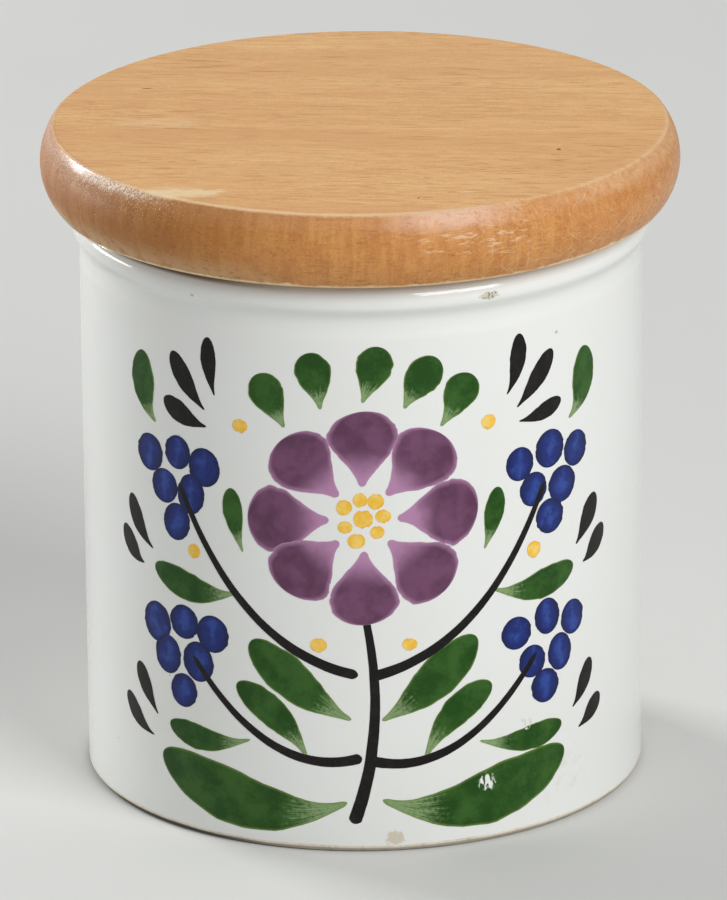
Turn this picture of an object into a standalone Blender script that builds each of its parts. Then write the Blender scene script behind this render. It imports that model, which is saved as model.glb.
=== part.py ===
"""Spice jar: a straight-sided glazed ceramic jar with a turned beech lid.

The jar is one slip-cast piece with a rolled collar at its rim and an unglazed foot ring.
The lid is one turned piece: a disc with a bulging edge, and a grooved plug below it.
A ribbed translucent ring sits in the plug's groove and wipes the jar's mouth.
Lengths are in metres, +Z is up, and the origin is the middle of the foot, on the table.
"""

import math

import bmesh
import bpy

MM = 0.001

# Jar body
WALL_RADIUS = 32.5 * MM
WALL_THICKNESS = 4.1 * MM
RIM_HEIGHT = 68.6 * MM
FLOOR_THICKNESS = 3.4 * MM
INNER_FILLET = 4.0 * MM
MOUTH_ROUND = 1.6 * MM

# Rolled collar at the rim, with a shallow neck below it
COLLAR_STANDOUT = 0.85 * MM
COLLAR_ROUND = 2.2 * MM
COLLAR_BAND = 0.4 * MM
COLLAR_RISE = 2.8 * MM
COLLAR_LEAN = 1.6
NECK_DEPTH = 0.12 * MM
NECK_LENGTH = 1.6 * MM

# Foot: a rounded base edge, a flat unglazed ring and a recess inside it
BASE_ROUND = 0.8 * MM
FOOT_RING_WIDTH = 4.2 * MM
RECESS_DEPTH = 1.2 * MM

# Lid disc: its edge bulges to a crest between a lower and an upper arris
LID_RADIUS = 36.85 * MM
LID_THICKNESS = 8.8 * MM
CREST_HEIGHT = 4.5 * MM
LOWER_ARRIS_INSET = 1.75 * MM
UPPER_ARRIS_INSET = 1.45 * MM

# Plug below the disc, and the groove turned into it
GROOVE_DROP = 2.3 * MM
GROOVE_WIDTH = 5.1 * MM
GROOVE_DEPTH = 2.4 * MM
GROOVE_LEAD = 2.1 * MM
PLUG_CHAMFER = 0.9 * MM

# Seal ring
SEAL_BAND = 1.0 * MM
FIN_COUNT = 3
FIN_ROOT = 0.95 * MM
FIN_TIP = 0.55 * MM

# Gaps between the fitted pieces
SEAT_CLEARANCE = 0.3 * MM
PLUG_CLEARANCE = 0.8 * MM
SEAL_CLEARANCE = 0.3 * MM
FIN_CLEARANCE = 0.3 * MM

# Faceting of every turned piece
SEGMENTS = 64
MERGE_DISTANCE = 0.001 * MM
SHARP_ANGLE = math.radians(40)

# What follows from the sizes above
MOUTH_RADIUS = WALL_RADIUS - WALL_THICKNESS
COLLAR_RADIUS = WALL_RADIUS + COLLAR_STANDOUT
FLOOR_HEIGHT = RECESS_DEPTH + FLOOR_THICKNESS
LID_UNDERSIDE = RIM_HEIGHT + SEAT_CLEARANCE
LID_TOP = LID_UNDERSIDE + LID_THICKNESS
PLUG_RADIUS = MOUTH_RADIUS - PLUG_CLEARANCE
GROOVE_TOP = LID_UNDERSIDE - GROOVE_DROP
GROOVE_BOTTOM = GROOVE_TOP - GROOVE_WIDTH
PLUG_BOTTOM = GROOVE_BOTTOM - GROOVE_LEAD
GROOVE_RADIUS = PLUG_RADIUS - GROOVE_DEPTH


def arc(centre, radius, start, end, steps):
    """Points along an arc in the radius and height plane, from one angle to another in degrees."""
    points = []
    for step in range(steps + 1):
        angle = math.radians(start + (end - start) * step / steps)
        points.append((centre[0] + radius * math.cos(angle), centre[1] + radius * math.sin(angle)))
    return points


def sway(start, end, lean, steps):
    """Points of a smooth double bend that leaves and arrives upright, without its first point.

    A lean above 1 moves its steepest part towards the end.
    """
    points = []
    for step in range(1, steps + 1):
        share = step / steps
        bend = (1 - math.cos(math.pi * share ** lean)) / 2
        points.append((start[0] + (end[0] - start[0]) * bend, start[1] + (end[1] - start[1]) * share))
    return points


def bulge(crest, arris, steps):
    """Points along the arc that passes upright through the crest and ends at the arris, crest left out."""
    inset = crest[0] - arris[0]
    rise = arris[1] - crest[1]
    radius = (inset ** 2 + rise ** 2) / (2 * inset)
    end = math.degrees(math.atan2(rise, radius - inset))
    return arc((crest[0] - radius, crest[1]), radius, 0, end, steps)[1:]


def jar_profile():
    """The jar's section from the middle of its underside, up the outside and down the inside."""
    foot_outer = WALL_RADIUS - BASE_ROUND
    foot_inner = foot_outer - FOOT_RING_WIDTH
    lip_base = RIM_HEIGHT - COLLAR_ROUND
    band_base = lip_base - COLLAR_BAND
    neck_height = band_base - COLLAR_RISE
    neck_top = (WALL_RADIUS - NECK_DEPTH, neck_height)
    neck_start = (WALL_RADIUS, neck_height - NECK_LENGTH)

    points = [(0, RECESS_DEPTH)]
    points += arc((foot_inner - RECESS_DEPTH, 0), RECESS_DEPTH, 90, 0, 4)
    points += arc((foot_outer, BASE_ROUND), BASE_ROUND, -90, 0, 4)
    points += [neck_start]
    points += sway(neck_start, neck_top, 1, 4)
    points += sway(neck_top, (COLLAR_RADIUS, band_base), COLLAR_LEAN, 8)
    points += arc((COLLAR_RADIUS - COLLAR_ROUND, lip_base), COLLAR_ROUND, 0, 90, 5)
    points += arc((MOUTH_RADIUS + MOUTH_ROUND, RIM_HEIGHT - MOUTH_ROUND), MOUTH_ROUND, 90, 180, 4)
    points += arc((MOUTH_RADIUS - INNER_FILLET, FLOOR_HEIGHT + INNER_FILLET), INNER_FILLET, 0, -90, 6)
    points += [(0, FLOOR_HEIGHT)]
    return points


def lid_profile():
    """The lid's section from the middle of its plug, out round its edge to the middle of its top."""
    points = [(0, PLUG_BOTTOM)]
    points += [(PLUG_RADIUS - PLUG_CHAMFER, PLUG_BOTTOM)]
    points += [(PLUG_RADIUS, PLUG_BOTTOM + PLUG_CHAMFER)]
    points += [(PLUG_RADIUS, GROOVE_BOTTOM)]
    points += [(GROOVE_RADIUS, GROOVE_BOTTOM)]
    points += [(GROOVE_RADIUS, GROOVE_TOP)]
    points += [(PLUG_RADIUS, GROOVE_TOP)]
    points += [(PLUG_RADIUS, LID_UNDERSIDE)]
    crest = (LID_RADIUS, LID_UNDERSIDE + CREST_HEIGHT)
    points += reversed(bulge(crest, (LID_RADIUS - LOWER_ARRIS_INSET, LID_UNDERSIDE), 7))
    points += [crest]
    points += bulge(crest, (LID_RADIUS - UPPER_ARRIS_INSET, LID_TOP), 6)
    points += [(0, LID_TOP)]
    return points


def seal_profile():
    """The seal's closed section: an upright band with tapered fins along its outer side."""
    bottom = GROOVE_BOTTOM + SEAL_CLEARANCE
    top = GROOVE_TOP - SEAL_CLEARANCE
    inner = GROOVE_RADIUS + SEAL_CLEARANCE
    root = inner + SEAL_BAND
    tip = MOUTH_RADIUS - FIN_CLEARANCE
    pitch = (top - bottom - FIN_ROOT) / (FIN_COUNT - 1)
    points = [(inner, bottom)]
    for fin in range(FIN_COUNT):
        middle = bottom + FIN_ROOT / 2 + fin * pitch
        points += [(root, middle - FIN_ROOT / 2)]
        points += [(tip, middle - FIN_TIP / 2)]
        points += [(tip, middle + FIN_TIP / 2)]
        points += [(root, middle + FIN_ROOT / 2)]
    points += [(inner, top)]
    return points


def turned(name, profile, closed, material):
    """Spins a section about the Z axis into one solid, as on a wheel or a lathe."""
    shape = bmesh.new()
    verts = [shape.verts.new((radius, 0, height)) for radius, height in profile]
    edges = [shape.edges.new(pair) for pair in zip(verts, verts[1:])]
    if closed:
        edges.append(shape.edges.new((verts[-1], verts[0])))
    bmesh.ops.spin(
        shape, geom=verts + edges, cent=(0, 0, 0), axis=(0, 0, 1),
        angle=2 * math.pi, steps=SEGMENTS, use_merge=True,
    )
    bmesh.ops.remove_doubles(shape, verts=shape.verts, dist=MERGE_DISTANCE)
    bmesh.ops.recalc_face_normals(shape, faces=shape.faces)
    mesh = bpy.data.meshes.new(name)
    shape.to_mesh(mesh)
    shape.free()
    mesh.shade_smooth()
    mesh.set_sharp_from_angle(angle=SHARP_ANGLE)
    mesh.materials.append(material)
    piece = bpy.data.objects.new(name, mesh)
    bpy.context.scene.collection.objects.link(piece)
    return piece


def finish(name, colour, roughness, metallic=0.0, coat=0.0, alpha=1.0):
    """A plain material for one sub-part."""
    material = bpy.data.materials.new(name)
    material.use_nodes = True
    shader = material.node_tree.nodes["Principled BSDF"]
    shader.inputs["Base Color"].default_value = (*colour, 1)
    shader.inputs["Roughness"].default_value = roughness
    shader.inputs["Metallic"].default_value = metallic
    shader.inputs["Coat Weight"].default_value = coat
    shader.inputs["Alpha"].default_value = alpha
    material.diffuse_color = (*colour, alpha)
    return material


for old in list(bpy.data.objects):
    bpy.data.objects.remove(old)

glaze = finish("white_glaze", (0.74, 0.75, 0.74), roughness=0.12, coat=1.0)
beech = finish("varnished_beech", (0.66, 0.40, 0.19), roughness=0.35, coat=0.4)
silicone = finish("clear_silicone", (0.82, 0.83, 0.80), roughness=0.4, alpha=0.6)

turned("jar_body", jar_profile(), False, glaze)
turned("wooden_lid", lid_profile(), False, beech)
turned("lid_seal", seal_profile(), True, silicone)
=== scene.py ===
"""The looks of a glazed ceramic spice jar with a turned beech lid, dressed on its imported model."""

import math
import random

import bmesh
import bpy
from mathutils import Matrix, Vector, noise


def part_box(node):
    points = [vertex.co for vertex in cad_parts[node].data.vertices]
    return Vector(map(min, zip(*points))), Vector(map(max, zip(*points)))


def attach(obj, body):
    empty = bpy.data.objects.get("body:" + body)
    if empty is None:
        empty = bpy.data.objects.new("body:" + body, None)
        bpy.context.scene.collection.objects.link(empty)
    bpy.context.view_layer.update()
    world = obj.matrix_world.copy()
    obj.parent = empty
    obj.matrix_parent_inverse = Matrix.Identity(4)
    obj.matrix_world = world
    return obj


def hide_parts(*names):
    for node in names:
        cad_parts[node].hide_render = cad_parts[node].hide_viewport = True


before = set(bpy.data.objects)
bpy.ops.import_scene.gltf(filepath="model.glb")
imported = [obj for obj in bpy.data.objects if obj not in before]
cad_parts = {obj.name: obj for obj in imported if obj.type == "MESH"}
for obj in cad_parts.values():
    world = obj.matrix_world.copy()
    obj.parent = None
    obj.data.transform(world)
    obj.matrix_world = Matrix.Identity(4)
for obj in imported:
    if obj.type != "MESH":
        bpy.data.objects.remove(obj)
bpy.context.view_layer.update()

# Jar body: one slip-cast piece of white earthenware under a clear gloss glaze.
# The mould gives it the straight wall and the rolled collar, and the inside is glazed too.
# The foot ring is wiped bare before firing, which leaves a thin cream line round the base.
MM = 0.001
TURNING_STEPS = 256
ROUNDING_STEPS = 10
SWAY_POINTS = 12
POINT_MERGE = 0.0005 * MM
SHARP_ANGLE = math.radians(40)

WALL_THICKNESS = 4.1 * MM
COLLAR_STANDOUT = 0.85 * MM
COLLAR_HEIGHT = 2.6 * MM
COLLAR_RISE = 2.8 * MM
COLLAR_LEAN = 1.6
NECK_DEPTH = 0.12 * MM
NECK_LENGTH = 1.6 * MM
RECESS_HEIGHT = 1.2 * MM
RECESS_ROUND = 0.9 * MM
FOOT_INSET = 5.0 * MM
FOOT_ROUND = 0.2 * MM
BASE_ROUND = 0.8 * MM
LIP_ROUND = 2.2 * MM
MOUTH_ROUND = 1.6 * MM
INNER_FILLET = 4.0 * MM
FLOOR_HEIGHT = 4.6 * MM

jar_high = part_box("jar_body")[1]
RIM_HEIGHT = jar_high.z
COLLAR_RADIUS = jar_high.x
WALL_RADIUS = COLLAR_RADIUS - COLLAR_STANDOUT
MOUTH_RADIUS = WALL_RADIUS - WALL_THICKNESS
NECK_RADIUS = WALL_RADIUS - NECK_DEPTH
FOOT_RADIUS = WALL_RADIUS - FOOT_INSET
COLLAR_FOOT = RIM_HEIGHT - COLLAR_HEIGHT
NECK_HEIGHT = COLLAR_FOOT - COLLAR_RISE

GLAZE_WHITE = (0.775, 0.785, 0.765, 1)
GLAZE_WARM = (0.745, 0.75, 0.715, 1)
BARE_CLAY = (0.70, 0.64, 0.52, 1)
SOILED_CLAY = (0.42, 0.36, 0.27, 1)
CHIP_CLAY = (0.55, 0.50, 0.36, 1)
CHIP_DARK = (0.13, 0.12, 0.08, 1)
SPECK_BROWN = (0.20, 0.17, 0.12, 1)
STAIN_TAN = (0.52, 0.42, 0.26, 1)
FILM_TAN = (0.60, 0.57, 0.48, 1)
RUB_GREY = (0.50, 0.50, 0.48, 1)
FOOT_SHADOW = (0.045, 0.036, 0.028, 1)
LIP_SHADE = (0.060, 0.038, 0.022, 1)
GLAZE_IOR = 1.52
GLAZE_RELIEF = 0.05 * MM

# Marks of use and firing, as centre and reach in millimetres along the wall from the front and up.
CHIP = ((14.5, 66.3), (1.1, 0.5))
STAIN = ((3.3, 1.7), (1.3, 0.9))
FILM = ((24.5, 6.4), (4.5, 3.5))
RUBBED_SPOTS = [((14.3, 7.4), (1.1, 1.2)), ((19.7, 13.6), (0.9, 0.9))]
KILN_SPECKS = [(-19.8, 65.7), (-27.2, 52.9), (24.2, 59.8), (-12.5, 3.4)]
KILN_SPECK_REACH = (0.24, 0.20)
SPECKS_PER_METRE = 150.0


def turned(name, corners, closed=False):
    """Rounds the corners of a section, spins it about the Z axis and links it as a piece.

    A corner is (radius, height) or (radius, height, rounding), listed up the outer side.
    """
    shape = bmesh.new()
    verts = [shape.verts.new((corner[0], 0, corner[1])) for corner in corners]
    for pair in zip(verts, verts[1:]):
        shape.edges.new(pair)
    if closed:
        shape.edges.new((verts[-1], verts[0]))
    for vert, corner in zip(verts, corners):
        if len(corner) > 2:
            bmesh.ops.bevel(
                shape, geom=[vert], offset=corner[2], offset_type="OFFSET", affect="VERTICES",
                segments=ROUNDING_STEPS, profile=0.5, material=-1,
            )
    bmesh.ops.spin(
        shape, geom=shape.verts[:] + shape.edges[:], cent=(0, 0, 0), axis=(0, 0, 1),
        angle=2 * math.pi, steps=TURNING_STEPS, use_merge=True,
    )
    bmesh.ops.remove_doubles(shape, verts=shape.verts, dist=POINT_MERGE)
    bmesh.ops.recalc_face_normals(shape, faces=shape.faces)
    return linked(name, shape)


def sway(start, end, lean):
    """Section points of a double bend that leaves and arrives upright; lean moves its steep part up."""
    points = []
    for step in range(1, SWAY_POINTS + 1):
        share = step / SWAY_POINTS
        bend = (1 - math.cos(math.pi * share ** lean)) / 2
        points.append((start[0] + (end[0] - start[0]) * bend, start[1] + (end[1] - start[1]) * share))
    return points


def linked(name, shape):
    """Turns a bmesh into a smooth piece of the scene."""
    mesh = bpy.data.meshes.new(name)
    shape.to_mesh(mesh)
    shape.free()
    mesh.shade_smooth()
    mesh.set_sharp_from_angle(angle=SHARP_ANGLE)
    piece = bpy.data.objects.new(name, mesh)
    bpy.context.scene.collection.objects.link(piece)
    return piece


class Shade:
    """A socket of a material's nodes. Sums on it add Math nodes, so shader maths reads as Python."""

    def __init__(self, tree, socket):
        self.tree = tree
        self.socket = socket

    def node(self, kind, settings=None, inputs=None, output=0):
        """Adds a node: its settings first, then the values or links of its sockets."""
        added = self.tree.nodes.new("ShaderNode" + kind)
        for name, value in (settings or {}).items():
            if name == "stops":
                for position, colour in value[1:-1]:
                    added.color_ramp.elements.new(position)
                for element, (position, colour) in zip(added.color_ramp.elements, value):
                    element.position = position
                    element.color = colour
            else:
                setattr(added, name, value)
        for name, value in (inputs or {}).items():
            if isinstance(value, Shade):
                self.tree.links.new(value.socket, added.inputs[name])
            else:
                added.inputs[name].default_value = value
        return Shade(self.tree, added.outputs[output])

    def maths(self, operation, *values):
        """A Math node on numbers or shades."""
        return self.node("Math", {"operation": operation}, dict(enumerate(values)))

    def __add__(self, other):
        return self.maths("ADD", self, other)

    def __radd__(self, other):
        return self.maths("ADD", other, self)

    def __sub__(self, other):
        return self.maths("SUBTRACT", self, other)

    def __rsub__(self, other):
        return self.maths("SUBTRACT", other, self)

    def __mul__(self, other):
        return self.maths("MULTIPLY", self, other)

    def __rmul__(self, other):
        return self.maths("MULTIPLY", other, self)

    def __truediv__(self, other):
        return self.maths("DIVIDE", self, other)

    def __pow__(self, other):
        return self.maths("POWER", self, other)

    def fade(self, start, end):
        """0 before start and 1 after end, with a soft step between them; it may run downwards."""
        return self.node(
            "MapRange", {"interpolation_type": "SMOOTHSTEP"},
            {"Value": self, "From Min": start, "From Max": end},
        )

    def mix(self, low, high):
        """Blends two colours by this value."""
        return self.node("Mix", {"data_type": "RGBA"}, {0: self, 6: low, 7: high}, output=2)

    def stretch(self, x, y, z):
        """Scales this vector along each axis."""
        return self.node("VectorMath", {"operation": "MULTIPLY"}, {0: self, 1: (x, y, z)})

    def turn(self, angle):
        """Turns this vector about the Z axis."""
        return self.node("Mapping", None, {"Vector": self, "Rotation": (0, 0, angle)})

    def cloud(self, scale, detail=2.0, roughness=0.5):
        """Noise from 0 to 1 at this vector, with a number of features per metre."""
        return self.node("TexNoise", None, {"Vector": self, "Scale": scale, "Detail": detail, "Roughness": roughness})

    def scatter(self, scale, output):
        """Scattered points, a number per metre: 0 gives the distance to the nearest, 1 its random colour."""
        inputs = {"Vector": self, "Scale": scale, "Randomness": 1.0}
        return self.node("TexVoronoi", {"feature": "F1"}, inputs, output=output)

    def axes(self):
        """This vector's three numbers."""
        return [self.node("SeparateXYZ", None, {0: self}, output=index) for index in range(3)]


def finish(name):
    """A new material: returns it, its shader and its Object coordinates."""
    material = bpy.data.materials.new(name)
    material.use_nodes = True
    tree = material.node_tree
    shader = tree.nodes["Principled BSDF"]
    place = Shade(tree, None).node("TexCoord", output=3)
    return material, shader, place


def feed(shader, socket, value):
    """Links a shade to the shader, or sets a plain value on its socket."""
    if isinstance(value, Shade):
        value.tree.links.new(value.socket, shader.inputs[socket])
    else:
        shader.inputs[socket].default_value = value


def bumped(height, depth):
    """A normal from a height map that is depth metres tall."""
    return height.node("Bump", None, {"Height": height, "Distance": depth, "Strength": 1.0})


def length(across, rise):
    """The straight distance across two lengths that stand at right angles."""
    return (across * across + rise * rise) ** 0.5


def around_wall(place):
    """Arc length from the front, height, and radius of a point on the jar, in metres."""
    x, y, z = place.axes()
    angle = x.maths("ARCTAN2", x, 0 - y)
    return angle * WALL_RADIUS, z, length(x, y)


def ragged_edge(place, radius):
    """Noise that frays the marks on the wall. Inside the jar it is so large that it clears them."""
    inside = radius.fade(WALL_RADIUS - 1.0 * MM, WALL_RADIUS - 2.0 * MM)
    return (place.cloud(1400, 3.0, 0.65) - 0.5) * 1.6 + inside * 9


def spot(along, up, centre, reach, wobble):
    """A ragged patch on the wall: 1 in its middle, 0 beyond its reach."""
    across = (along - centre[0] * MM) / (reach[0] * MM)
    rise = (up - centre[1] * MM) / (reach[1] * MM)
    return (length(across, rise) + wobble).fade(1.05, 0.75)


def rub_marks(place):
    """Where the jar was rubbed low on its right side: 1 on the bare marks, also through the colours."""
    along, up, radius = around_wall(place)
    ragged = ragged_edge(place, radius)
    marks = 0
    for centre, reach in RUBBED_SPOTS:
        marks = marks + spot(along, up, centre, reach, ragged)
    return marks * place.stretch(1, 1, 0.35).cloud(2600, 2.0).fade(0.48, 0.56)


def waviness(place):
    """The glaze's faint waviness, shared by the white ground and the fired colours."""
    return place.cloud(55, 1.0) + 0.06 * place.cloud(420, 1.0)


glaze, shader, place = finish("white_glaze")
along, up, radius = around_wall(place)
x, y, _ = place.axes()
ragged = ragged_edge(place, radius)
left = x.fade(-6.0 * MM, -20.0 * MM)
smear = place.cloud(60, 3.0, 0.6)
colour = (smear.fade(0.35, 0.75) * 0.35).mix(GLAZE_WHITE, GLAZE_WARM)

# The lip under the lid's front left is painted dark as the shade in the gap under the lid. Specks from the kiln are
# fired into the glaze.
on_lip = up.fade(RIM_HEIGHT - 1.15 * MM, RIM_HEIGHT - 0.75 * MM)
on_lip = on_lip * radius.fade(WALL_RADIUS - 1.2 * MM, WALL_RADIUS - 0.5 * MM)
dust_and_shade = on_lip * left * y.fade(4.0 * MM, -8.0 * MM)
colour = (dust_and_shade * 0.85).mix(colour, LIP_SHADE)
chosen = place.node("SeparateColor", None, {0: place.scatter(SPECKS_PER_METRE, 1)})
specks = place.scatter(SPECKS_PER_METRE, 0).fade(0.022, 0.012) * chosen.fade(0.55, 0.56)
colour = (specks * 0.75).mix(colour, SPECK_BROWN)
for centre in KILN_SPECKS:
    speck = spot(along, up, centre, KILN_SPECK_REACH, ragged * 0.4)
    colour = (speck * 0.5).mix(colour, SPECK_BROWN)

# Use has left a chip in the collar, and a stain, rubbed marks and a tan film low on the wall.
chip = spot(along, up, *CHIP, ragged)
pits = place.cloud(3200, 2.0).fade(0.52, 0.60)
colour = (chip * 0.8).mix(colour, pits.mix(CHIP_CLAY, CHIP_DARK))
stain = spot(along, up, *STAIN, ragged)
colour = (stain * 0.6).mix(colour, STAIN_TAN)
rubs = rub_marks(place)
colour = (rubs * 0.55).mix(colour, RUB_GREY)
film = spot(along, up, *FILM, ragged) * place.cloud(900, 3.0).fade(0.45, 0.75)
colour = (film * 0.3).mix(colour, FILM_TAN)

# The wiped foot shows bare clay. Where it meets the table a dark line is painted as its contact shadow, darker on the
# left side.
foot_height = up + (place.cloud(240, 2.0) - 0.5) * 0.3 * MM
on_foot = radius.fade(FOOT_RADIUS - 0.4 * MM, FOOT_RADIUS - 0.1 * MM)
bare = foot_height.fade(0.95 * MM, 0.80 * MM) * on_foot
soiled = place.cloud(800, 4.0, 0.7).fade(0.45, 0.70)
colour = bare.mix(colour, (soiled * 0.5).mix(BARE_CLAY, SOILED_CLAY))
contact_shadow = foot_height.fade(0.66 * MM, 0.50 * MM) * on_foot * (0.45 + left * 0.5)
colour = contact_shadow.mix(colour, FOOT_SHADOW)

feed(shader, "Base Color", colour)
feed(shader, "Roughness", 0.085 + smear * 0.05 + bare * 0.6 + chip * 0.4 + rubs * 0.25 + dust_and_shade * 0.5)
relief = waviness(place) - chip * pits * 1.2 + bare * place.cloud(3000, 3.0) * 0.5
feed(shader, "Normal", bumped(relief, GLAZE_RELIEF))
feed(shader, "IOR", GLAZE_IOR)

neck_start = (WALL_RADIUS, NECK_HEIGHT - NECK_LENGTH)
neck = (NECK_RADIUS, NECK_HEIGHT)
jar = turned("glazed_jar", [
    (0, RECESS_HEIGHT),
    (FOOT_RADIUS, RECESS_HEIGHT, RECESS_ROUND),
    (FOOT_RADIUS, 0, FOOT_ROUND),
    (WALL_RADIUS, 0, BASE_ROUND),
    neck_start,
    *sway(neck_start, neck, 1),
    *sway(neck, (COLLAR_RADIUS, COLLAR_FOOT), COLLAR_LEAN),
    (COLLAR_RADIUS, RIM_HEIGHT, LIP_ROUND),
    (MOUTH_RADIUS, RIM_HEIGHT, MOUTH_ROUND),
    (MOUTH_RADIUS, FLOOR_HEIGHT, INNER_FILLET),
    (0, FLOOR_HEIGHT),
])
jar.data.materials.append(glaze)
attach(jar, "jar")
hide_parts("jar_body")

# Painted stems and dashes: near-black brush lines fired onto the glaze.
# A middle stem rises from the foot, two side stems leave it on each side, and short dashes fill the gaps.
# Each stroke is a thin skin of colour, bent along its own line and wrapped on the wall.
hand = random.Random(11)
PAINT_SINK = 0.02 * MM
PAINT_BUILD = 0.03 * MM
STROKE_STEP = 0.0012 * MM
SIDE_STEM_LIFT = 0.012 * MM
PAINT_IOR = 1.30
EDGE_SHAKE = 9
EDGE_FRAYS = 60
FRAYING = 0.5
TAIL_WIDTH = 0.10
HEAD_START = 0.68

INK = (0.006, 0.005, 0.005, 1)
INK_WORN = (0.018, 0.015, 0.014, 1)

# Strokes run from start to end past a bend, in millimetres along the wall from the front and up.
MIDDLE_STEM = [(-1.4, 3.6), (2.8, 15), (0.1, 29.0)]
MIDDLE_STEM_WIDTH = 1.55
SIDE_STEMS = [
    [(0.4, 11.5), (10.5, 8.5), (21.0, 22.0)],
    [(0.8, 21.6), (14.0, 24.5), (22.4, 42.2)],
]
SIDE_STEM_WIDTH = 1.25
DASHES = [
    [(17.2, 53.6), (18.8, 56.6), (18.4, 61.0)],
    [(18.6, 52.2), (21.2, 54.4), (23.4, 58.2)],
    [(18.8, 50.0), (21.6, 50.2), (24.6, 52.0)],
    [(27.2, 33.6), (29.6, 35.2), (30.6, 39.0)],
    [(28.6, 31.0), (30.8, 31.8), (32.2, 34.8)],
    [(26.6, 13.6), (28.8, 15.4), (29.8, 19.2)],
    [(27.6, 10.8), (30.2, 11.4), (32.0, 14.4)],
]
DASH_WIDTHS = (2.0, 2.6)


def palette_layer():
    """An empty layer of strokes. Each point keeps its place in its stroke and the stroke's own number."""
    shape = bmesh.new()
    shape.verts.layers.float_vector.new("stroke")
    shape.verts.layers.float.new("hand")
    return shape


def comma(share):
    """Half-width of a comma stroke: a thin tail that swells to a round head."""
    if share < HEAD_START:
        swell = math.sin(math.pi / 2 * share / HEAD_START) ** 1.7
        return (TAIL_WIDTH + (1 - TAIL_WIDTH) * swell) * min(1, share / 0.03) ** 0.5
    return math.sqrt(max(0, 1 - ((share - HEAD_START) / (1 - HEAD_START)) ** 2))


def oval(share):
    """Half-width of a round or oval dab."""
    return math.sqrt(max(0, 1 - (2 * share - 1) ** 2))


def line(share):
    """Half-width of a stem, which thins towards its tip."""
    return (1 - 0.45 * share) * min(1, share / 0.02, (1 - share) / 0.02) ** 0.5


def on_wall(along, up, lift):
    """The point at that arc length and height, lifted off the jar's wall."""
    angle = along / WALL_RADIUS
    reach = WALL_RADIUS + lift
    return Vector((reach * math.sin(angle), -reach * math.cos(angle), up))


def lay_stroke(shape, start, bend, end, width, form, lift=0.0, cells=(22, 10), ragged=0.07):
    """Adds one brush stroke from start to end past bend, in millimetres along and up the wall."""
    place_layer = shape.verts.layers.float_vector["stroke"]
    hand_layer = shape.verts.layers.float["hand"]
    number = hand.uniform(0, 90)
    start, bend, end = Vector(start), Vector(bend), Vector(end)
    grid = bmesh.ops.create_grid(shape, x_segments=cells[0], y_segments=cells[1], size=1)
    for vert in grid["verts"]:
        share = (1 - math.cos(math.pi * (vert.co.x + 1) / 2)) / 2
        across = vert.co.y
        spine = start * (1 - share) ** 2 + bend * 2 * share * (1 - share) + end * share ** 2
        run = ((bend - start) * (1 - share) + (end - bend) * share).normalized()
        shake = noise.noise(Vector((share * EDGE_SHAKE, math.copysign(2, across), number)))
        shake += FRAYING * noise.noise(Vector((share * EDGE_FRAYS, math.copysign(4, across), number)))
        half = width / 2 * form(share) * (1 + ragged * shake)
        spine += Vector((-run.y, run.x)) * half * across
        vert[place_layer] = Vector((share, across, (1 - abs(across)) * form(share)))
        vert[hand_layer] = number
        vert.co = on_wall(spine.x * MM, spine.y * MM, -PAINT_SINK)
    bmesh.ops.remove_doubles(shape, verts=grid["verts"], dist=POINT_MERGE)
    patch = {face for vert in grid["verts"] if vert.is_valid for face in vert.link_faces}
    raised = bmesh.ops.extrude_face_region(shape, geom=list(patch))
    for vert in raised["geom"]:
        if isinstance(vert, bmesh.types.BMVert):
            outward = Vector((vert.co.x, vert.co.y, 0)).normalized()
            vert.co += outward * (PAINT_SINK + PAINT_BUILD + lift)


def fired(name, shape, material):
    """Fires a layer of strokes onto the jar."""
    bmesh.ops.recalc_face_normals(shape, faces=shape.faces)
    layer = linked(name, shape)
    layer.data.materials.append(material)
    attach(layer, "jar")
    return layer


def brushed(name):
    """A fired colour's material, its shader and coordinates, and a point's place in its stroke.

    That place is the share along the stroke, the way across it from -1 to 1, the depth in from its
    edge, and coordinates that run with the bristles.
    """
    material, shader, place = finish(name)
    share, across, depth = place.node("Attribute", {"attribute_name": "stroke"}, output=1).axes()
    number = place.node("Attribute", {"attribute_name": "hand"}, output=2)
    bristle = place.node("CombineXYZ", None, {0: share * 1.2 + number, 1: across * 5.0, 2: number})
    feed(shader, "Normal", bumped(waviness(place), GLAZE_RELIEF))
    feed(shader, "IOR", PAINT_IOR)
    return material, shader, place, (share, across, depth, bristle)


def mirrored(points, side, shake=0.35):
    """Points for the left (-1) or right (1) side of the spray, shaken a little as a hand would."""
    return [(side * x + hand.uniform(-shake, shake), y + hand.uniform(-shake, shake)) for x, y in points]


ink, shader, place, _ = brushed("ink_strokes")
worn = place.cloud(700, 3.0, 0.6).fade(0.45, 0.75)
feed(shader, "Base Color", rub_marks(place).mix((worn * 0.7).mix(INK, INK_WORN), GLAZE_WHITE))
feed(shader, "Roughness", 0.10 + worn * 0.06)

layer = palette_layer()
lay_stroke(layer, *MIDDLE_STEM, MIDDLE_STEM_WIDTH, line, cells=(60, 6))
for side in (-1, 1):
    for stem in SIDE_STEMS:
        lay_stroke(layer, *mirrored(stem, side, 0.2), SIDE_STEM_WIDTH, line, lift=SIDE_STEM_LIFT, cells=(50, 6))
    for number, dash in enumerate(DASHES):
        lay_stroke(layer, *mirrored(dash, side), hand.uniform(*DASH_WIDTHS), comma, lift=number * STROKE_STEP)
fired("painted_stems", layer, ink)

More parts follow.
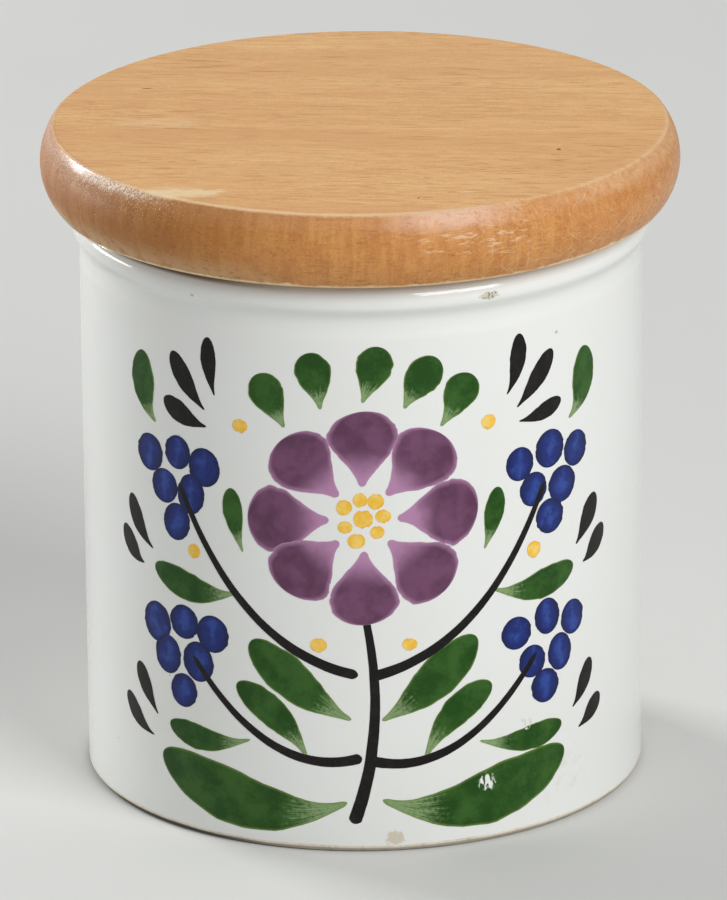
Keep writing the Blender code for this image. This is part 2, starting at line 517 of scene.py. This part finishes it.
# Painted leaves: green comma strokes along the stems and in an arch over the rosette.
# The brush leaves the colour full at the head and streaky at the tail, with a yellowish edge.
LEAF_DEEP = (0.012, 0.060, 0.005, 1)
LEAF_MID = (0.034, 0.105, 0.016, 1)
LEAF_THIN = (0.27, 0.39, 0.18, 1)
LEAF_EDGE = (0.17, 0.25, 0.05, 1)
LEAVES = [
    [(1.8, 6.4), (10.5, 2.2), (25.6, 9.0), 6.8],
    [(1.9, 16.2), (6.8, 18.6), (13.0, 25.4), 5.0],
    [(7.0, 11.4), (9.0, 16.4), (15.2, 19.6), 3.8],
    [(13.4, 12.6), (18.4, 10.9), (24.8, 12.6), 3.1],
    [(15.2, 30.4), (20.0, 28.9), (26.8, 31.4), 3.6],
    [(26.2, 48.8), (29.2, 51.0), (28.4, 57.2), 3.8],
    [(14.2, 36.0), (15.6, 38.8), (15.8, 43.0), 2.5],
]
ROSETTE = (0.0, 40.6)
CROWN_ROOT = 13.9
CROWN_TIP = 20.6
CROWN_WIDTH = 4.2
CROWN_ANGLES = (50, 70, 90, 110, 130)

green, shader, place, (share, _, depth, bristle) = brushed("green_leaves")
streaks = bristle.cloud(3.2, 3.0, 0.6)
tail = share.fade(0.62, 0.05)
thin = tail * 0.8 + (streaks - 0.5) * (0.5 + tail * 1.1)
grain = place.cloud(2600, 2.0)
colour = (place.cloud(330, 2.0) + (grain - 0.5) * 0.3).fade(0.35, 0.7).mix(LEAF_DEEP, LEAF_MID)
colour = ((thin + (grain - 0.5) * 0.5).fade(0.32, 0.82) * 0.85).mix(colour, LEAF_THIN)
colour = ((depth + (grain - 0.5) * 0.08).fade(0.10, 0.02) * 0.6).mix(colour, LEAF_EDGE)
feed(shader, "Base Color", rub_marks(place).mix(colour, GLAZE_WHITE))
feed(shader, "Roughness", 0.09 + grain * 0.04)

layer = palette_layer()
for side in (-1, 1):
    for number, (start, bend, end, width) in enumerate(LEAVES):
        leaf = mirrored((start, bend, end), side)
        lay_stroke(layer, *leaf, width, comma, lift=number * STROKE_STEP, cells=(40, 16))
for number, angle in enumerate(CROWN_ANGLES):
    turn = math.radians(angle)
    root = (ROSETTE[0] + CROWN_ROOT * math.cos(turn), ROSETTE[1] + CROWN_ROOT * math.sin(turn))
    sweep = turn + hand.uniform(-0.10, 0.10)
    tip = (ROSETTE[0] + CROWN_TIP * math.cos(sweep), ROSETTE[1] + CROWN_TIP * math.sin(sweep))
    middle = ((root[0] + tip[0]) / 2 + hand.uniform(-0.8, 0.8), (root[1] + tip[1]) / 2)
    lay_stroke(layer, root, middle, tip, CROWN_WIDTH, comma, lift=number * STROKE_STEP, cells=(30, 14))
fired("painted_leaves", layer, green)

# Painted rosette: eight purple petals, each one pull of a loaded brush from the tip inwards.
# The colour lies full in the head, softens to mauve at its edges and thins to pink at the root.
PETAL_COUNT = 8
PETAL_ROOT = 3.9
PETAL_TIP = 13.1
PETAL_WIDTH = 8.0
PETAL_DEEP = (0.105, 0.038, 0.080, 1)
PETAL_MID = (0.165, 0.064, 0.132, 1)
PETAL_THIN = (0.44, 0.225, 0.385, 1)
PETAL_FRINGE = (0.50, 0.32, 0.46, 1)

purple, shader, place, (share, across, depth, bristle) = brushed("purple_petals")
streaks = bristle.cloud(2.6, 3.0, 0.55)
wash = place.cloud(300, 3.0, 0.55)
ribs = (across * 8.5 + (streaks - 0.5) * 3.5).maths("COSINE")
fullness = share * 1.7 - 0.48 + ribs * 0.42 + (wash - 0.5) * 0.7
colour = wash.fade(0.35, 0.65).mix(PETAL_DEEP, PETAL_MID)
colour = fullness.fade(0.75, 0.0).mix(colour, PETAL_THIN)
colour = ((depth + (wash - 0.5) * 0.16).fade(0.20, 0.02) * 0.55).mix(colour, PETAL_THIN)
colour = (depth.fade(0.05, 0.0) * 0.6).mix(colour, PETAL_FRINGE)
feed(shader, "Base Color", colour)
feed(shader, "Roughness", 0.09 + streaks * 0.04)

layer = palette_layer()
centre = Vector(ROSETTE)
for number in range(PETAL_COUNT):
    turn = math.radians(90 + 360 * number / PETAL_COUNT + hand.uniform(-3, 3))
    out = Vector((math.cos(turn), math.sin(turn)))
    sideways = Vector((-out.y, out.x))
    tip = PETAL_TIP + hand.uniform(-0.5, 0.4)
    start = centre + out * PETAL_ROOT
    bend = centre + out * (PETAL_ROOT + tip) / 2 + sideways * hand.uniform(-0.9, 0.9)
    end = centre + out * tip
    lay_stroke(layer, start, bend, end, PETAL_WIDTH, comma, lift=number * STROKE_STEP, cells=(44, 22), ragged=0.06)
fired("painted_petals", layer, purple)

# Painted berries: four hanging clusters of round cobalt dabs at the ends of the side stems.
# The colour gathers at each dab's rim, so its middle is lighter and cloudy.
BERRY_DEEP = (0.010, 0.016, 0.075, 1)
BERRY_MID = (0.012, 0.024, 0.150, 1)
BERRY_PALE = (0.032, 0.075, 0.330, 1)
BERRY_SIZE = 4.4
CLUSTERS = [(22.4, 24.4), (23.0, 44.8)]
BERRY_ROWS = [(-4.1, 0.4), (0.1, 1.3), (4.2, 0.2), (-2.1, -3.3), (2.2, -3.2), (0.2, -6.9)]

blue, shader, place, (_, _, depth, _) = brushed("blue_berries")
wash = place.cloud(520, 3.0, 0.65)
colour = (depth + (wash - 0.5) * 0.7).fade(0.05, 0.50).mix(BERRY_DEEP, BERRY_MID)
pale = (depth - 0.40 + (wash - 0.5) * 2.4).fade(0.05, 0.75)
colour = (pale * 0.75).mix(colour, BERRY_PALE)
feed(shader, "Base Color", colour)
feed(shader, "Roughness", 0.09 + wash * 0.03)

layer = palette_layer()
for side in (-1, 1):
    for x, y in CLUSTERS:
        for number, (right, rise) in enumerate(BERRY_ROWS):
            (middle,) = mirrored([(x + right, y + rise)], side, 0.25)
            lean = hand.uniform(-0.5, 0.5)
            half = BERRY_SIZE / 2 * hand.uniform(0.88, 1.12)
            start = (middle[0] - lean, middle[1] - half)
            end = (middle[0] + lean, middle[1] + half)
            width = BERRY_SIZE * hand.uniform(0.82, 1.0)
            lay_stroke(layer, start, middle, end, width, oval, lift=number * STROKE_STEP, cells=(24, 14))
fired("painted_berries", layer, blue)

# Painted stamens: small yellow dabs in the rosette's middle and single ones among the strokes.
# They are thin over the white, so each is blotchy and warmer towards its edge.
STAMEN_YELLOW = (0.82, 0.48, 0.045, 1)
STAMEN_PALE = (0.86, 0.60, 0.150, 1)
STAMEN_ORANGE = (0.78, 0.34, 0.02, 1)
MIDDLE_DOT = 2.2
RING_DOTS = 7
RING_REACH = 2.45
LOOSE_DOTS = [(14.6, 50.8), (5.4, 25.4), (20.6, 34.6)]

yellow, shader, place, (_, _, depth, _) = brushed("yellow_stamens")
wash = place.cloud(900, 3.0, 0.6)
colour = wash.fade(0.35, 0.65).mix(STAMEN_YELLOW, STAMEN_PALE)
colour = ((depth + (wash - 0.5) * 0.5).fade(0.30, 0.0) * 0.45).mix(colour, STAMEN_ORANGE)
feed(shader, "Base Color", colour)
feed(shader, "Roughness", 0.11)

dots = [(*ROSETTE, MIDDLE_DOT)]
for number in range(RING_DOTS):
    turn = 2 * math.pi * number / RING_DOTS + hand.uniform(-0.12, 0.12)
    reach = RING_REACH * hand.uniform(0.9, 1.15)
    size = hand.uniform(1.6, 2.0)
    dots.append((ROSETTE[0] + reach * math.cos(turn), ROSETTE[1] + reach * math.sin(turn), size))
for side in (-1, 1):
    for x, y in mirrored(LOOSE_DOTS, side):
        dots.append((x, y, hand.uniform(1.7, 2.1)))
layer = palette_layer()
for number, (x, y, size) in enumerate(dots):
    start = (x - size / 2, y + hand.uniform(-0.2, 0.2))
    end = (x + size / 2, y + hand.uniform(-0.2, 0.2))
    width = size * hand.uniform(0.75, 1.05)
    lay_stroke(layer, start, (x, y), end, width, oval, lift=number * STROKE_STEP, cells=(14, 8), ragged=0.2)
fired("painted_stamens", layer, yellow)

# Seal ring: a soft translucent silicone ring stretched into the groove of the lid's plug.
# Its band lies in the groove and three thin fins wipe the jar's mouth.
SILICONE = (0.86, 0.87, 0.83, 1)
SILICONE_DUST = (0.66, 0.62, 0.50, 1)
SILICONE_IOR = 1.41
BAND_THICKNESS = 1.0 * MM
BAND_ROUND = 0.2 * MM
FIN_COUNT = 3
FIN_LENGTH = 1.6 * MM
FIN_ROOT = 0.95 * MM
FIN_TIP = 0.5 * MM
FIN_ROUND = 0.18 * MM

seal_low, seal_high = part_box("lid_seal")
fin_radius = seal_high.x
root_radius = fin_radius - FIN_LENGTH
band_radius = root_radius - BAND_THICKNESS
fin_pitch = (seal_high.z - seal_low.z - FIN_ROOT) / (FIN_COUNT - 1)

corners = [(band_radius, seal_low.z, BAND_ROUND)]
for fin in range(FIN_COUNT):
    middle = seal_low.z + FIN_ROOT / 2 + fin * fin_pitch
    corners += [(root_radius, middle - FIN_ROOT / 2)]
    corners += [(fin_radius, middle - FIN_TIP / 2, FIN_ROUND)]
    corners += [(fin_radius, middle + FIN_TIP / 2, FIN_ROUND)]
    corners += [(root_radius, middle + FIN_ROOT / 2)]
corners += [(band_radius, seal_high.z, BAND_ROUND)]

silicone, shader, place = finish("clear_silicone")
dust_and_shade = place.cloud(900, 4.0, 0.7)
feed(shader, "Base Color", (dust_and_shade.fade(0.45, 0.8) * 0.5).mix(SILICONE, SILICONE_DUST))
feed(shader, "Roughness", 0.28 + dust_and_shade * 0.2)
feed(shader, "Normal", bumped(place.cloud(1500, 2.0), 0.02 * MM))
feed(shader, "Transmission Weight", 0.25)
feed(shader, "IOR", SILICONE_IOR)

seal = turned("silicone_seal", corners, closed=True)
seal.data.materials.append(silicone)
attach(seal, "seal")
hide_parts("lid_seal")

# Lid: one board of steamed beech, turned on a lathe with its plug and groove in the same piece.
# The edge bulges between two arrises, and the grain runs across the lid from left to right.
# A satin varnish covers it; years of hands have rubbed it thin on the arrises and at the front right.
LID_THICKNESS = 8.8 * MM
CREST_RISE = 4.5 * MM
LOWER_INSET = 1.75 * MM
UPPER_INSET = 1.45 * MM
LOWER_WEAR = 0.2 * MM
ARRIS_WEAR = 0.35 * MM
BULGE_POINTS = 14
PLUG_CLEARANCE = 0.8 * MM
PLUG_ROUND = 0.9 * MM
HEEL_ROUND = 0.3 * MM
GROOVE_DROP = 2.3 * MM
GROOVE_WIDTH = 5.1 * MM
GROOVE_DEPTH = 2.4 * MM
GROOVE_ROUND = 0.15 * MM

lid_low, lid_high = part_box("wooden_lid")
LID_RADIUS = lid_high.x
LID_TOP = lid_high.z
UNDERSIDE = LID_TOP - LID_THICKNESS
CREST_HEIGHT = UNDERSIDE + CREST_RISE
LOWER_ARRIS = LID_RADIUS - LOWER_INSET
UPPER_ARRIS = LID_RADIUS - UPPER_INSET
PLUG_RADIUS = MOUTH_RADIUS - PLUG_CLEARANCE
GROOVE_RADIUS = PLUG_RADIUS - GROOVE_DEPTH
GROOVE_TOP = UNDERSIDE - GROOVE_DROP
GROOVE_FOOT = GROOVE_TOP - GROOVE_WIDTH

BEECH_ROSE = (0.715, 0.370, 0.148, 1)
BEECH_BODY = (0.785, 0.440, 0.178, 1)
BEECH_STRAW = (0.860, 0.540, 0.235, 1)
PORE_BROWN = (0.440, 0.150, 0.050, 1)
EDGE_AMBER = (0.435, 0.148, 0.028, 1)
EDGE_HONEY = (0.570, 0.250, 0.064, 1)
EDGE_RUSSET = (0.470, 0.160, 0.055, 1)
EDGE_BOUNCE_LIGHT = (0.640, 0.470, 0.260, 1)
END_AND_SHADE_UMBER = (0.275, 0.088, 0.006, 1)
CUT_BROWN = (0.240, 0.085, 0.022, 1)
WORN_CREAM = (0.860, 0.660, 0.400, 1)
WORN_PINK_SHEEN = (0.800, 0.540, 0.410, 1)
WORN_HEM = (1.000, 0.780, 0.440, 1)
SCRAPED_PALE = (0.860, 0.620, 0.430, 1)
GLINT_HIGHLIGHT = (1.000, 0.870, 0.720, 1)
GOLD_SPARKLE = (0.960, 0.700, 0.360, 1)
SAP_CREAM = (0.900, 0.720, 0.430, 1)
SPECK_DARK = (0.150, 0.060, 0.025, 1)
VARNISH_IOR = 1.34
VARNISH_COAT_ROUGHNESS = 0.17
WOOD_RELIEF = 0.035 * MM

GRAIN_TURN = math.radians(4.0)
SCORE_LEANS = (0.15, -0.55, 1.45, 0.65)
# Flecks on the top, as centre and reach in millimetres; the pale ones also have a strength.
SAP_FLECKS = [
    ((-21.8, -27.0), (7.2, 2.0), 0.75),
    ((11.7, -27.5), (1.2, 0.35), 0.45),
    ((-23.0, -0.7), (5.0, 1.8), 0.20),
]
DARK_SPECKS = [((22.6, -12.0), (0.30, 0.40)), ((-24.7, 12.8), (0.80, 0.22)), ((6.5, -29.6), (0.2, 0.3))]


def bulge(crest, arris):
    """Section points of the arc that passes upright through the crest and ends at the arris."""
    inset = crest[0] - arris[0]
    rise = arris[1] - crest[1]
    reach = (inset ** 2 + rise ** 2) / (2 * inset)
    end = math.atan2(rise, reach - inset)
    turns = [end * step / BULGE_POINTS for step in range(1, BULGE_POINTS)]
    return [(crest[0] - reach + reach * math.cos(turn), crest[1] + reach * math.sin(turn)) for turn in turns]


crest = (LID_RADIUS, CREST_HEIGHT)
lid = turned("turned_lid", [
    (0, lid_low.z),
    (PLUG_RADIUS, lid_low.z, PLUG_ROUND),
    (PLUG_RADIUS, GROOVE_FOOT, GROOVE_ROUND),
    (GROOVE_RADIUS, GROOVE_FOOT, GROOVE_ROUND),
    (GROOVE_RADIUS, GROOVE_TOP, GROOVE_ROUND),
    (PLUG_RADIUS, GROOVE_TOP, GROOVE_ROUND),
    (PLUG_RADIUS, UNDERSIDE, HEEL_ROUND),
    (LOWER_ARRIS, UNDERSIDE, LOWER_WEAR),
    *reversed(bulge(crest, (LOWER_ARRIS, UNDERSIDE))),
    crest,
    *bulge(crest, (UPPER_ARRIS, LID_TOP)),
    (UPPER_ARRIS, LID_TOP, ARRIS_WEAR),
    (0, LID_TOP),
])

beech, shader, place = finish("varnished_beech")
board = place.turn(GRAIN_TURN)
x, y, z = place.axes()
face_x, _, face_z = place.node("TexCoord", output=1).axes()
radius = length(x, y)
drop = LID_TOP - z
rise = z - UNDERSIDE

# Round the edge, wrapped follows the lid's circle. Bearings run from the front, in radians, left below 0.
wrapped = place.node("CombineXYZ", None, {0: x / radius * LID_RADIUS, 1: y / radius * LID_RADIUS, 2: z})
bearing = x.maths("ARCTAN2", x, 0 - y)
unrolled = place.node("CombineXYZ", None, {0: bearing * LID_RADIUS, 1: z})
near_half = y.fade(0.25 * LID_RADIUS, 0)
far_left = bearing.fade(-0.66, -0.96) * near_half
front_right = bearing.fade(0.0, 0.24) * bearing.fade(0.56, 0.32)
right = bearing.fade(0.55, 0.90) * near_half
end_grain = (face_x * face_x).fade(0.25, 0.95)
edge = (face_z * face_z).fade(0.80, 0.40)

# The board: bands of early and late wood, fibres, and dark pores that lie along them.
bands = board.stretch(0.05, 1, 1).cloud(190, 2.0, 0.55)
fibres = board.stretch(0.045, 1, 1).cloud(1150, 3.0, 0.65)
fine = board.stretch(0.07, 1, 1).cloud(4600, 2.0, 0.6)
grain = place.cloud(3600, 2.0, 0.6)
tone = bands * 0.40 + fibres * 0.40 + fine * 0.62 + grain * 0.40 - 0.41
colour = tone.node("ValToRGB", {"stops": [
    (0.36, BEECH_ROSE),
    (0.50, BEECH_BODY),
    (0.66, BEECH_STRAW),
]}, {0: tone})
rosy = board.stretch(0.35, 1, 1).cloud(70, 2.0).fade(0.45, 0.62)
colour = (rosy * 0.35).mix(colour, BEECH_ROSE)
crowding = board.stretch(0.2, 1, 1).cloud(95, 2.0).fade(0.36, 0.62)
short_pores = board.stretch(0.12, 1, 1).cloud(3000, 1.0).fade(0.61, 0.68) * (0.25 + crowding * 0.75)
long_pores = board.stretch(0.055, 1, 1).cloud(2300, 1.0).fade(0.65, 0.72)
pores = short_pores.maths("MAXIMUM", short_pores, long_pores)
colour = (pores * 0.46).mix(colour, PORE_BROWN)

# The turned edge takes the finish darker. At the left its end grain is darker still, partly from the grain and partly
# as painted shade, and the whole edge there is painted darker as shade.
ridges = wrapped.stretch(1, 1, 0.16).cloud(900, 3.0, 0.65)
ribbed = ridges + right * 0.8 * (fibres - ridges)
mottle = wrapped.cloud(230, 3.0, 0.6)
amber = (mottle * 0.4 + ribbed * 0.6 + (grain - 0.5) * 0.35).fade(0.36, 0.64).mix(EDGE_AMBER, EDGE_HONEY)
colour = (edge * 0.82).mix(colour, amber)
umber = end_grain * edge * (fibres * 0.5 + ridges * 0.5).fade(0.60, 0.40)
colour = (umber * 0.5 * x.fade(0.3 * LID_RADIUS, -0.7 * LID_RADIUS)).mix(colour, END_AND_SHADE_UMBER)
# Painted shade on the left side of the edge.
shaded = edge * x.fade(-0.12 * LID_RADIUS, -0.68 * LID_RADIUS)
colour = (shaded * 0.50).mix(colour, END_AND_SHADE_UMBER)
# Painted bounce light: the low left of the edge is paler, as if lit from below.
bounce_light = z.fade(UNDERSIDE + 3.6 * MM, UNDERSIDE + 0.4 * MM) * bearing.fade(-0.10, -0.45) * near_half
colour = (bounce_light * mottle.fade(0.30, 0.6) * (0.38 + far_left * 0.25)).mix(colour, EDGE_BOUNCE_LIGHT)
cut_marks = wrapped.stretch(0.30, 0.30, 1).cloud(2300, 2.0).fade(0.60, 0.68) * edge
colour = (cut_marks * 0.48 * (0.4 + z.fade(CREST_HEIGHT, UNDERSIDE) * 0.6)).mix(colour, CUT_BROWN)

scuff = place.cloud(650, 4.0, 0.7)
worn_in = scuff - 0.5


def ellipse(centre, reach):
    """1 inside a flat ellipse on the lid's top with frayed ends along the grain, 0 outside it."""
    across = (x - centre[0] * MM) / (reach[0] * MM)
    depth = (y - centre[1] * MM) / (reach[1] * MM)
    return (length(across, depth) + (fibres - 0.5) * 2.2 + worn_in).fade(1.1, 0.6)


on_top = drop.fade(0.5 * MM, 0.05 * MM)
for centre, reach, strength in SAP_FLECKS:
    colour = (ellipse(centre, reach) * on_top * strength).mix(colour, SAP_CREAM)
for centre, reach in DARK_SPECKS:
    colour = (ellipse(centre, reach) * 0.8).mix(colour, SPECK_DARK)

# The shoulder is rubbed to bare pale wood at the front right, with a painted pinkish sheen over the wear, and at the
# far left a painted highlight glints in pits.
shoulder = radius.fade(UPPER_ARRIS - 0.5 * MM, UPPER_ARRIS - 0.1 * MM)
shoulder = shoulder * (drop + worn_in * 2.2 * MM).fade(2.5 * MM, 0.9 * MM)
russet = mottle.fade(0.42, 0.60) * edge * (right * 0.24 + front_right * 0.06)
colour = russet.mix(colour, EDGE_RUSSET)
# Partly real wear, partly painted sheen of the varnish.
rubbed_and_sheen = shoulder * (0.08 + far_left * 0.10 + front_right * 0.55 + right * 0.22) * scuff.fade(0.25, 0.55)
colour = rubbed_and_sheen.mix(colour, (right * 0.7).mix(WORN_PINK_SHEEN, WORN_CREAM))
sparks = place.cloud(4600, 2.0, 0.7)
# Painted highlight: a grainy near-white band on the far left shoulder.
glint_highlight = drop.fade(0.0, 0.30 * MM) * (drop + worn_in * 1.6 * MM).fade(1.4 * MM, 0.5 * MM)
glint_highlight = glint_highlight * bearing.fade(-0.60, -0.84) * near_half * bearing.fade(-1.40, -0.98) * sparks.fade(0.42, 0.54)
colour = (glint_highlight * 0.78).mix(colour, GLINT_HIGHLIGHT)
# Painted sparkle: bright gold flecks below the painted highlight.
sparkle_flecks = sparks.fade(0.60, 0.66) * bearing.fade(-0.40, -0.75) * near_half * edge
colour = (sparkle_flecks * drop.fade(4.5 * MM, 1.0 * MM) * 0.6).mix(colour, GOLD_SPARKLE)

# Both arrises are worn through to cream, and the underside is painted darker as shade.
rim = length(drop, radius - UPPER_ARRIS) + worn_in * 0.6 * MM
rim = rim.fade(0.45 * MM, 0.10 * MM) * (0.15 + bearing.fade(0.5, -0.1) * 0.45)
colour = (rim * bearing.fade(-1.0, -0.6) * near_half).mix(colour, WORN_CREAM)
hem = length(rise, radius - LOWER_ARRIS) + worn_in * 1.3 * MM - right * 0.25 * MM
colour = (hem.fade(0.70 * MM, 0.25 * MM) * 0.75).mix(colour, WORN_HEM)
underside_shade = face_z.fade(-0.5, -0.9)
colour = (underside_shade * 0.5).mix(colour, END_AND_SHADE_UMBER)

# Short pale scrapes lie on the front, and fine scores cross each other round the right.
scraped = wrapped.stretch(0.20, 0.20, 1).cloud(2500, 3.0, 0.65).fade(0.53, 0.64)
scraped = scraped * bearing.fade(0.12, 0.24) * bearing.fade(0.62, 0.46)
scraped = scraped * drop.fade(5.8 * MM, 4.4 * MM) * drop.fade(1.4 * MM, 2.4 * MM)
colour = (scraped * edge * 0.50).mix(colour, SCRAPED_PALE)
scores = 0
for lean in SCORE_LEANS:
    scores = scores + unrolled.turn(lean).stretch(0.07, 1, 1).cloud(3300, 1.5).fade(0.62, 0.72)
scores = scores * edge * bearing.fade(0.20, 0.50) * near_half
colour = (scores * 0.21).mix(colour, WORN_CREAM)
feed(shader, "Base Color", colour)

dulled = shoulder * near_half * (1 - front_right) * bearing.fade(-0.45, -0.20)
roughness = 0.36 + scuff * 0.14 + rubbed_and_sheen * 0.12 + pores * 0.15 - edge * 0.04
feed(shader, "Roughness", roughness + shaded * 0.08 + dulled * 0.20)
coat = (0.12 - rubbed_and_sheen * 0.10 - shaded * 0.06) * (1 - dulled * 0.8)
gloss = shoulder * drop.fade(1.6 * MM, 0.9 * MM) * far_left * (0.10 + bearing.fade(-1.25, -0.98) * 0.50)
feed(shader, "Coat Weight", coat + gloss)
feed(shader, "Coat Roughness", VARNISH_COAT_ROUGHNESS)
feed(shader, "IOR", VARNISH_IOR)
relief = fibres * 0.4 + fine * 0.25 - pores * 0.9 + ridges * edge * 0.8 + scuff * 0.3
relief = relief + place.cloud(2200, 3.0, 0.7) * (rubbed_and_sheen * 2.4 + shoulder * far_left * 5.0)
feed(shader, "Normal", bumped(relief, WOOD_RELIEF))

lid.data.materials.append(beech)
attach(lid, "lid")
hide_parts("wooden_lid")

# Table: a plain pale sweep of matt paper that the jar stands on.
SWEEP_HALF = 3.0
PAPER = (0.685, 0.69, 0.665, 1)
PAPER_DIM = (0.665, 0.67, 0.645, 1)

shape = bmesh.new()
bmesh.ops.create_grid(shape, x_segments=1, y_segments=1, size=SWEEP_HALF)
table = linked("table_sweep", shape)
paper, shader, place = finish("pale_paper")
feed(shader, "Base Color", place.cloud(30, 3.0).mix(PAPER, PAPER_DIM))
feed(shader, "Roughness", 0.85)
table.data.materials.append(paper)

# Lights: a large soft key at the front right, and a lower softbox behind at the left.
# A low strip at the far left draws the streak on the collar and the glint on the lid's shoulder.
# The dim even surround fills the shadows as the walls of a white tent would.
JAR_MIDDLE = (0, 0, 0.045)
COLLAR_LEVEL = (0, 0, 0.06)
TENT_WHITE = (0.97, 0.98, 1.0, 1)
TENT_STRENGTH = 0.34


def softbox(name, bearing, height, distance, size, power, aim=JAR_MIDDLE):
    """A rectangular light at a bearing from the front and a height, in degrees, turned to its aim."""
    lamp = bpy.data.lights.new(name, "AREA")
    lamp.shape = "RECTANGLE"
    lamp.size, lamp.size_y = size
    lamp.energy = power
    rig = bpy.data.objects.new(name, lamp)
    turn, rise = math.radians(bearing), math.radians(height)
    way = Vector((math.sin(turn) * math.cos(rise), -math.cos(turn) * math.cos(rise), math.sin(rise)))
    stand = Vector(aim) + way * distance
    facing = (Vector(aim) - stand).to_track_quat("-Z", "Y").to_matrix().to_4x4()
    rig.matrix_world = Matrix.Translation(stand) @ facing
    bpy.context.scene.collection.objects.link(rig)


softbox("key_softbox", bearing=40, height=34, distance=1.1, size=(0.6, 0.6), power=8.9)
softbox("back_softbox", bearing=-132, height=20, distance=1.6, size=(0.55, 0.5), power=18.5)
softbox("left_strip", bearing=-113, height=1, distance=0.9, size=(0.44, 0.11), power=1.4, aim=COLLAR_LEVEL)

world = bpy.data.worlds.new("white_tent")
bpy.context.scene.world = world
world.use_nodes = True
surround = world.node_tree.nodes["Background"]
surround.inputs["Color"].default_value = TENT_WHITE
surround.inputs["Strength"].default_value = TENT_STRENGTH

# Camera: a long lens about a metre away, looking down on the jar from the front.
LENS = 358.7
SENSOR = 36.0
CAMERA_DISTANCE = 1.0441
CAMERA_RISE = 0.3392
CAMERA_TARGET = Vector((0.0, 0.0, 0.038))
CAMERA_AIM = Vector((0.0001, 0.0, 0.0374))
CAMERA_ROLL = 0.0088
CLIP_NEAR = 0.05
CLIP_FAR = 20.0

view = bpy.data.cameras.new("photo_view")
view.lens = LENS
view.sensor_width = SENSOR
view.clip_start = CLIP_NEAR
view.clip_end = CLIP_FAR
camera = bpy.data.objects.new("photo_view", view)
stand = CAMERA_TARGET + CAMERA_DISTANCE * Vector((0, -math.cos(CAMERA_RISE), math.sin(CAMERA_RISE)))
look = (CAMERA_AIM - stand).to_track_quat("-Z", "Y").to_matrix().to_4x4()
camera.matrix_world = Matrix.Translation(stand) @ look @ Matrix.Rotation(-CAMERA_ROLL, 4, "Z")
bpy.context.scene.collection.objects.link(camera)
bpy.context.scene.camera = camera
bpy.context.scene.view_settings.view_transform = "Standard"
